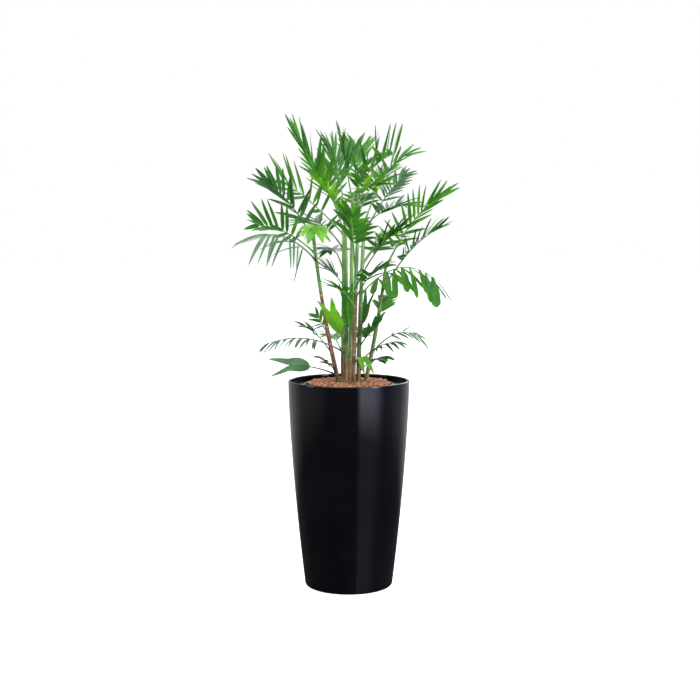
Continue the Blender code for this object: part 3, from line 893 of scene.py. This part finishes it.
@dataclass
class RootBall:
    """The frame's own root ball, which only gets its substrate finish."""

    node: str = "root_ball"

    def dress(self) -> Object:
        """Give the root ball its finish.

        Returns:
            The frame's own object.
        """
        ball = bpy.data.objects[self.node]
        ball.data.materials.clear()
        dressed(ball.data, Finishes.SOIL)
        return ball


@dataclass
class PebbleBed:
    """Burnt clay pebbles in two layers on the root ball, clear of the canes."""

    radius: float = 0.1120
    spacing: float = 0.0098
    size: float = 0.0056
    layers: Pair = (0.5490, 0.5545)
    layer_shift: Pair = (0.37, 0.41)
    stray: float = 0.0010
    heave: float = 0.0007
    fall: float = 0.0030
    edge_share: float = 0.6
    cane_gap: float = 0.0045
    fineness: tuple[int, int] = (2, 3)
    wave: float = 1.5
    lump: float = 0.045
    lengths: Pair = (0.78, 1.12)
    widths: Pair = (0.82, 1.0)
    heights: Pair = (0.72, 0.92)
    burns: tuple[float, float, float] = (0.55, 0.25, 0.20)
    seed: int = 11

    def spots(self, rng: Rng) -> list[tuple[Vec, int]]:
        """Scatter the pebbles' middles.

        Args:
            rng: The source of the scatter.

        Returns:
            Each middle with its layer, 0 below and 1 on top.
        """
        found = []
        row_height = self.spacing * sqrt(3.0) / 2.0
        count = int(self.radius / row_height) + 2
        steps = range(-count, count + 1)
        for (layer, level), row, column in product(enumerate(self.layers), steps, steps):
            east = (column + 0.5 * (row % 2) + self.layer_shift[0] * layer) * self.spacing
            east += rng.normal(0.0, self.stray)
            north = (row + self.layer_shift[1] * layer) * row_height + rng.normal(0.0, self.stray)
            reach = sqrt(east * east + north * north)
            height = level - self.fall * (reach / self.radius) ** 2 + rng.normal(0.0, self.heave)
            if reach < self.radius - self.size * self.edge_share and self.free(east, north, layer):
                found.append((np.array([east, north, height]), layer))
        return found

    def free(self, east: float, north: float, layer: int) -> bool:
        """Return whether a pebble may lie here; the top ones stay clear of the canes."""
        return layer == 0 or not any(
            sqrt((east - cane.foot[0]) ** 2 + (north - cane.foot[1]) ** 2) < cane.foot_radius + self.cane_gap
            for cane in CANES.values())

    def ball(self, fine: int) -> tuple[Vec, Vec]:
        """Make a ball of radius one.

        Args:
            fine: How finely it is divided.

        Returns:
            Its points and its faces.
        """
        work = bmesh.new()
        bmesh.ops.create_icosphere(work, subdivisions=fine, radius=1.0)
        points = np.array([vert.co[:] for vert in work.verts])
        faces = np.array([[vert.index for vert in face.verts] for face in work.faces])
        work.free()
        return points, faces

    def pebble(self, ball: Vec, middle: Vec, rng: Rng) -> Vec:
        """Return the points of one lumpy pebble.

        Args:
            ball: The points of the ball that it is made from.
            middle: Where it lies.
            rng: The source of its lumps, its turn and its sizes.

        Returns:
            The pebble's points, in the ball's order.
        """
        waves = rng.normal(0.0, 1.0, (4, 3)) * self.wave
        lumps = 1.0 + self.lump * np.sin(ball @ waves.T + rng.uniform(0.0, 6.0, 4)).sum(axis=1)
        turn = np.linalg.qr(rng.normal(0.0, 1.0, (3, 3)))[0]
        if np.linalg.det(turn) < 0.0:
            turn[:, 0] *= -1.0
        size = self.size * rng.uniform(*self.lengths)
        sizes = size * np.array([1.0, rng.uniform(*self.widths), rng.uniform(*self.heights)])
        return (ball * lumps[:, None] * sizes) @ turn.T + middle

    def build(self) -> Object:
        """Build the pebbles as one piece.

        Returns:
            The dressed piece, which stands for the pebble bed's node.
        """
        rng = np.random.default_rng(self.seed)
        balls = [self.ball(fine) for fine in self.fineness]
        points, faces, burns, count = [], [], [], 0
        for middle, layer in self.spots(rng):
            ball, skin = balls[layer]
            points.append(self.pebble(ball, middle, rng))
            faces.append(skin + count)
            burns.append(np.full(len(skin), rng.choice(len(self.burns), p=self.burns)))
            count += len(ball)
        mesh = bpy.data.meshes.new("pebbles")
        mesh.from_pydata(np.vstack(points).tolist(), [], np.vstack(faces).tolist())
        self.dress(mesh)
        mesh.polygons.foreach_set("material_index", np.concatenate(burns).astype(np.int32))
        mesh.shade_smooth()
        return seated("pebbles", mesh, "clay_pebbles", "pebble_bed")

    def dress(self, mesh: Mesh) -> Mesh:
        """Give the pebbles their three burns and return them."""
        return dressed(mesh, *Finishes.CLAYS)


@dataclass
class Cane:
    """A cane with its ring scars, its brown foot and the sheaths around its upper part."""

    shape: CaneShape
    sunk: float = 0.5470
    sides: int = 20
    step: float = 0.0016
    first_scar: float = 0.012
    scar_spacing: Pair = (0.018, 0.034)
    scar_widening: float = 0.6
    scar_swell: float = 0.10
    scar_reach: float = 0.0018
    scar_half: float = 0.0011
    ripple: float = 0.02
    ripple_pace: float = 90.0
    foot_top: float = 0.600
    foot_fray: float = 0.015
    sheath_start: float = 0.80

    def scars(self, rng: Rng) -> Vec:
        """Space the ring scars, wider apart towards the top.

        Args:
            rng: The source of their spacing.

        Returns:
            Their heights, from the foot up.
        """
        scars = [self.sunk + self.first_scar]
        while scars[-1] < self.shape.top[2]:
            widening = 1.0 + self.scar_widening * self.shape.share(scars[-1])
            scars.append(scars[-1] + rng.uniform(*self.scar_spacing) * widening)
        return np.array(scars)

    def ring(self, height: float, nearest: float) -> Vec:
        """Return the points around the cane.

        Args:
            height: The height of the ring.
            nearest: How far the next scar is.

        Returns:
            The ring's points.
        """
        swell = 1.0 + self.scar_swell * np.exp(-(nearest / self.scar_reach) ** 2)
        radius = self.shape.radius(height) * (swell - self.ripple * sin(height * self.ripple_pace))
        east, north, _ = self.shape.centre(height)
        angles = around(self.sides)
        level = np.full(self.sides, height)
        return np.stack([east + radius * np.cos(angles), north + radius * np.sin(angles), level], axis=-1)

    def band(self, height: float, nearest: float, rng: Rng) -> Band:
        """Tell the bands of the cane apart.

        Args:
            height: The height to look at.
            nearest: How far the next scar is.
            rng: The source of the foot's frayed edge.

        Returns:
            The band at that height.
        """
        if nearest < self.scar_half:
            return Band.SCAR
        if height < self.foot_top + rng.uniform(0.0, self.foot_fray):
            return Band.FOOT
        return Band.RIND if height < self.sheath_start else Band.SHEATH

    def build(self, rng: Rng) -> Object:
        """Build the cane.

        Args:
            rng: The source of the scars' spacing and of the foot's edge.

        Returns:
            The dressed piece, which stands for the cane's node.
        """
        heights = np.arange(self.sunk, self.shape.top[2], self.step)
        scars = self.scars(rng)
        rings, bands = [], []
        for height in heights:
            nearest = np.abs(scars - height).min()
            rings.append(self.ring(height, nearest))
            bands.append(int(self.band(height, nearest, rng)))
        low, high = (np.broadcast_to(self.shape.centre(heights[end]), (self.sides, 3)) for end in (0, -1))
        pile = Pile()
        pile.grid(np.array([low, *rings, high]), np.array([bands[0], *bands]), closed=True)
        name = self.shape.name + "_cane"
        return seated(name, pile.mesh(name, *self.dress()), "cane", "cane_" + self.shape.name)

    def dress(self) -> tuple[StemFinish, ...]:
        """Return the cane's finishes, in the order of its bands."""
        return Finishes.FOOT, Finishes.RINDS[self.shape.rind], Finishes.SCAR, Finishes.SHEATH


@dataclass
class Frond:
    """A frond's stalk and leaflets, built along the same curve as its node in the frame."""

    shape: FrondShape
    cane: CaneShape
    stalk_radius: float = 0.0023
    tip_radius: float = 0.0006
    stalk_taper: float = 0.8
    stalk_width: float = 1.15
    stalk_end: float = 0.985
    stalk_sides: int = 8
    flare: float = 0.9
    flare_length: float = 0.045
    stations: int = 15
    columns: int = 5
    crowding: float = 0.92
    fullest: float = 0.72
    fullness: float = 0.62
    narrowing: float = 0.10
    base_width: float = 0.07
    blunt_from: float = 0.88
    blunt_base: float = 0.22
    blunt_widening: float = 1.5
    blunt_rounding: float = 0.75
    lobe_stations: int = 16
    lobe_length: float = 0.9
    lobe_sag: float = 0.7
    lobe_width: float = 0.75
    lobe_lift: float = 0.25
    lobe_joined: float = 1.6
    pair_start: float = 0.35
    pair_end: float = 0.30
    length_start: float = 0.12
    length_span: float = 0.76
    favoured: float = 0.55
    stray: float = 0.10
    sweep_stray: float = 6.0
    fold_stray: float = 9.0
    tilt_stray: float = 14.0
    twist_stray: float = 16.0
    bend_stray: float = 0.03
    lengths: Pair = (0.86, 1.03)
    widths: Pair = (0.88, 1.12)
    last_share: float = 0.93
    last_width: float = 1.35
    cup: float = 0.20
    cup_more: float = 0.10

    HANDS = (1.0, -1.0)

    def build(self, leaves: Pile, ribs: Pile, rng: Rng) -> None:
        """Add the frond's leaflets and its stalk to the piles.

        Args:
            leaves: The pile of this tone's leaflets.
            ribs: The pile of all the stalks.
            rng: The source of the leaflets' differences.
        """
        self.stalk(ribs)
        favour = int(rng.integers(0, 3))
        if self.shape.forked:
            for hand in self.HANDS:
                leaves.grid(self.lobe(hand), favour)
            return
        pairs = self.shape.pairs
        for pair in range(pairs):
            share = (pair + self.pair_start) / (pairs - self.pair_end)
            for hand in self.HANDS:
                place = min(1.0, max(0.0, share + rng.normal(0.0, self.stray) / pairs))
                slot = favour if rng.random() < self.favoured else int(rng.integers(0, 3))
                leaves.grid(self.leaflet(place, hand, rng), slot)

    def stalk(self, ribs: Pile) -> None:
        """Add the stalk, with a flare where it clasps the cane.

        Args:
            ribs: The pile of all the stalks.
        """
        angles = around(self.stalk_sides)
        rings = []
        for share in np.concatenate([np.linspace(0.0, 0.10, 6), np.linspace(0.13, self.stalk_end, 26)]):
            point, _, side, lift = self.shape.rachis(self.cane, share)
            radius = self.stalk_radius + (self.tip_radius - self.stalk_radius) * share ** self.stalk_taper
            radius *= 1.0 + self.flare * np.exp(-(share / self.flare_length) ** 2)
            rings.append([point + (side * cos(angle) * self.stalk_width + lift * sin(angle)) * radius
                          for angle in angles])
        # Fronds in the darkest tone and the sage fronds get the darker stalk, which on the shaded fronds is
        # painted shade.
        ribs.grid(np.array(rings), int(self.shape.tone in (DEEP, SAGE)), closed=True)

    def leaflet(self, share: float, hand: float, rng: Rng) -> Vec:
        """Return the rows of points of one leaflet.

        Args:
            share: Its place on the leafy part of the stalk, from 0 to 1.
            hand: 1 for one side of the stalk and -1 for the other.
            rng: The source of its own differences.

        Returns:
            The points, a row across the leaflet for each station along it.
        """
        shape = self.shape
        point, heading, side, lift = shape.rachis(self.cane, shape.bare + (1.0 - shape.bare) * share)
        first, last = shape.sweep
        sweep = first + (last - first) * share + rng.normal(0.0, self.sweep_stray)
        fold = shape.fold + rng.normal(0.0, self.fold_stray)
        direction = shape.leaning(heading, side * hand, lift, sweep, fold)
        swell = sin(pi * (self.length_start + self.length_span * share))
        length = shape.leaflet * (shape.taper + (1.0 - shape.taper) * swell) * rng.uniform(*self.lengths)
        tilt = radians(rng.normal(0.0, self.tilt_stray))
        across = turned_about(unit(np.cross(lift, direction)), direction, tilt)
        half = shape.width * rng.uniform(*self.widths) / 2.0
        half *= self.last_width if share > self.last_share else 1.0
        bend = rng.normal(0.0, self.bend_stray)
        steps = np.linspace(0.0, 1.0, self.stations) ** self.crowding
        spine = (point + direction * (length * steps)[:, None]
                 - UP * (shape.droop * length * steps * steps)[:, None]
                 + across * (bend * length * steps * steps)[:, None])
        twist = radians(rng.normal(0.0, self.twist_stray)) * steps
        cup = self.cup + self.cup_more * rng.random()
        return self.blade(spine, across, half * self.outline(steps), twist, cup)

    def outline(self, steps: Vec) -> Vec:
        """Return the shape of a leaflet's edge.

        Args:
            steps: Shares of its length, from 0 to 1.

        Returns:
            The half width at each of them, as a part of the widest one.
        """
        if self.shape.blunt:
            past = np.maximum(0.0, (steps - self.blunt_from) / (1.0 - self.blunt_from))
            widening = np.minimum(1.0, self.blunt_base + self.blunt_widening * steps)
            return widening * (1.0 - past ** 2 * self.blunt_rounding)
        swell = np.maximum(0.0, np.sin(pi * steps ** self.fullest)) ** self.fullness
        return swell * (1.0 - self.narrowing * steps) + self.base_width * (1.0 - steps)

    def blade(self, spine: Vec, across: Vec, half: Vec, twist: Vec, cup: float) -> Vec:
        """Return the rows of points of a cupped and twisted blade.

        Args:
            spine: The points along its middle.
            across: The direction across it where it starts.
            half: The half width at each point of the spine.
            twist: The turn about the spine at each point, in radians.
            cup: How far the edges rise, as a part of the half width.

        Returns:
            The points, a row for each point of the spine.
        """
        slope = units(np.gradient(spine, axis=0))
        flat = units(across - slope * (slope @ across)[:, None])
        normal = np.cross(slope, flat)
        part, rest = np.sin(twist)[:, None], np.cos(twist)[:, None]
        flat, normal = flat * rest + normal * part, normal * rest - flat * part
        columns = np.linspace(-1.0, 1.0, self.columns)
        reach = half[:, None] * columns
        rise = half[:, None] * (np.abs(columns) - 0.5) * cup
        spread = flat[:, None, :] * reach[:, :, None] + normal[:, None, :] * rise[:, :, None]
        return spine[:, None, :] + spread

    def lobe(self, hand: float) -> Vec:
        """Return the rows of points of one broad lobe of a young leaf.

        Args:
            hand: 1 for the lobe on one side of the stalk and -1 for the other.

        Returns:
            The points, each row from the edge that is joined to the stalk outwards.
        """
        shape = self.shape
        _, _, low_side, low_lift = shape.rachis(self.cane, shape.bare)
        point, heading, side, lift = shape.rachis(self.cane, 1.0)
        direction = shape.leaning(heading, side * hand, lift, shape.sweep[0], shape.fold)
        reach = direction * shape.leaflet * self.lobe_length
        end = point + reach - UP * shape.droop * shape.leaflet * self.lobe_sag
        rows = []
        for share in np.linspace(0.0, 1.0, self.lobe_stations):
            along = min(1.0, shape.bare + (1.0 - shape.bare) * share * self.lobe_joined)
            past = max(0.0, share * self.lobe_joined - 1.0) / (self.lobe_joined - 1.0)
            inner = shape.rachis(self.cane, along)[0] + (end - point) * past
            swell = sin(pi * min(1.0, share ** 0.8)) ** 0.7
            half = shape.width * self.lobe_width * swell * (1.0 - 0.2 * share)
            face = unit(low_side * (1.0 - share) + side * share)
            rows.append([inner + face * hand * half * column + low_lift * half * self.lobe_lift * column
                         for column in np.linspace(0.0, 1.0, self.columns)])
        return np.array(rows)


@dataclass
class Palm:
    """The whole plant: its canes and, joined by tone, the leaflets of its fronds."""

    seed: int = 29

    def build(self) -> list[Object]:
        """Build the canes, the leaflets and the stalks.

        Returns:
            The pieces, in that order.
        """
        rng = np.random.default_rng(self.seed)
        pieces = [Cane(shape).build(rng) for shape in CANES.values()]
        ribs = Pile()
        leaves = {tone: Pile() for tone in Tone}
        for shape in FRONDS:
            Frond(shape, CANES[shape.cane]).build(leaves[shape.tone], ribs, rng)
        # The darkest tone's piece carries painted shade and the brightest tone's piece painted light.
        for tone, pile in leaves.items():
            name = "leaflets_" + tone.value
            nodes = ["frond_" + shape.name for shape in FRONDS if shape.tone is tone]
            pieces.append(seated(name, pile.mesh(name, *self.dress(tone)), "frond_" + tone.value, *nodes))
        pieces.append(seated("stalks", ribs.mesh("stalks", *Finishes.STALKS), "frond_mid"))
        return pieces

    def dress(self, tone: Tone) -> tuple[LeafFinish, ...]:
        """Return the finishes of a tone's leaflets."""
        return Finishes.LEAVES[tone]


@dataclass(frozen=True)
class SoftBox:
    """A soft light: where it hangs, its width and height, its power in watts and its colour."""

    name: str
    spot: Spot
    size: Pair
    power: float
    colour: Colour = (1.0, 1.0, 1.0)

    def hang(self, target: Spot) -> None:
        """Hang the light.

        Args:
            target: The point that it looks at.
        """
        lamp = bpy.data.lights.new(self.name, "AREA")
        lamp.shape = "RECTANGLE"
        lamp.size, lamp.size_y = self.size
        lamp.energy = self.power
        lamp.color = self.colour
        thing = placed(self.name, lamp)
        thing.location = self.spot
        thing.visible_camera = False
        thing.rotation_euler = (Vector(target) - Vector(self.spot)).to_track_quat("-Z", "Y").to_euler()


@dataclass
class Studio:
    """The plain pale floor, the soft lights and the camera at the photograph's angle."""

    eye: Spot = (0.0016, -3.40, 0.96)
    pitch: float = 5.36
    lens: float = 65.27
    film: float = 36.0
    shift: float = 0.0009
    target: Spot = (0.0, 0.0, 0.75)
    floor_half: float = 30.0
    low_fade: Pair = (-0.27, -0.19)
    low_light: float = 0.10

    SOFTBOXES = (
        SoftBox("softbox_right", (1.70, -1.45, 1.15), (0.55, 1.3), 34.0, (0.93, 0.92, 1.0)),
        SoftBox("softbox_left", (-2.20, -0.60, 1.20), (0.5, 1.6), 9.0),
        SoftBox("softbox_top", (-0.3, -0.6, 3.0), (2.4, 2.4), 62.0),
        SoftBox("softbox_back", (0.6, 2.2, 2.0), (2.0, 2.0), 40.0),
    )

    ROOM = (
        (0.0, (0.0, 0.0, 0.0)),
        (14.0, (0.0, 0.0, 0.0)),
        (26.0, (1.75, 1.75, 2.15)),
        (44.0, (1.60, 1.60, 2.00)),
        (74.0, (0.10, 0.10, 0.14)),
        (110.0, (0.30, 0.30, 0.36)),
        (140.0, (0.55, 0.55, 0.60)),
        (180.0, (0.60, 0.60, 0.60)),
        (230.0, (0.50, 0.50, 0.52)),
        (262.0, (0.26, 0.26, 0.28)),
        (296.0, (0.22, 0.22, 0.24)),
        (325.0, (0.02, 0.02, 0.02)),
    )

    def build(self) -> None:
        """Set up the floor, the world, the lights and the camera."""
        self.floor()
        self.world()
        for box in self.SOFTBOXES:
            box.hang(self.target)
        self.camera()

    def floor(self) -> None:
        """Lay the floor, which stays out of the gloss so the planter keeps its black."""
        mesh = bpy.data.meshes.new("floor")
        half = self.floor_half
        corners = [(-half, -half, 0.0), (half, -half, 0.0), (half, half, 0.0), (-half, half, 0.0)]
        mesh.from_pydata(corners, [], [(0, 1, 2, 3)])
        floor = placed("floor", dressed(mesh, Finishes.FLOOR))
        floor.visible_glossy = False

    def world(self) -> None:
        """Light the room: plain white where it is seen, a ring of bands where it only lights.

        A band of ROOM starts at its angle in degrees, counted around the plant from the
        viewer's side, and blends into the next one. Far below the plant the ring is dim.
        """
        board = Board(bpy.data.worlds.new("studio"), "OutputWorld")
        east, north, height = board.add("SeparateXYZ", Vector=board.place.outputs["Generated"]).outputs
        angle = board.worked("ARCTAN2", east, board.worked("MULTIPLY", north, -1.0))
        whole = board.worked("WRAP", angle, 2.0 * pi, 0.0)
        turn = board.add("MapRange", Value=whole, From_Max=2.0 * pi).outputs["Result"]
        ring = board.blend(turn, *((degrees / 360.0, colour) for degrees, colour in self.ROOM))
        ring.node.color_ramp.interpolation = "EASE"
        low, high = self.low_fade
        fade = board.add("MapRange", Value=height, From_Min=low, From_Max=high, To_Min=self.low_light)
        room = board.add("Background", Color=ring, Strength=fade.outputs["Result"])
        sky = board.add("Background", Color=(1.0, 1.0, 1.0), Strength=1.0)
        seen = board.add("LightPath").outputs["Is Camera Ray"]
        bpy.context.scene.world = board.done(board.add("MixShader", seen, room.outputs[0], sky.outputs[0]))

    def camera(self) -> None:
        """Place the camera where the photograph was taken from."""
        lens = bpy.data.cameras.new("camera")
        lens.sensor_width = self.film
        lens.lens = self.lens
        lens.shift_x = self.shift
        eye = placed("camera", lens)
        eye.location = self.eye
        eye.rotation_euler = (radians(90.0 - self.pitch), 0.0, 0.0)
        bpy.context.scene.camera = eye
        bpy.context.scene.view_settings.view_transform = "Standard"


def main() -> None:
    """Build the planter, what it holds, the palm and the studio."""
    logging.basicConfig(level=logging.INFO, format="%(name)s: %(message)s")
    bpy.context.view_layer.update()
    planter = Planter()
    pieces = [planter.build(), Collar().build(planter), RootBall().dress(), PebbleBed().build()]
    pieces += Palm().build()
    for piece in pieces:
        log.info("%s: %d faces", piece.name, len(piece.data.polygons))
    Studio().build()


if __name__ == "__main__":
    main()
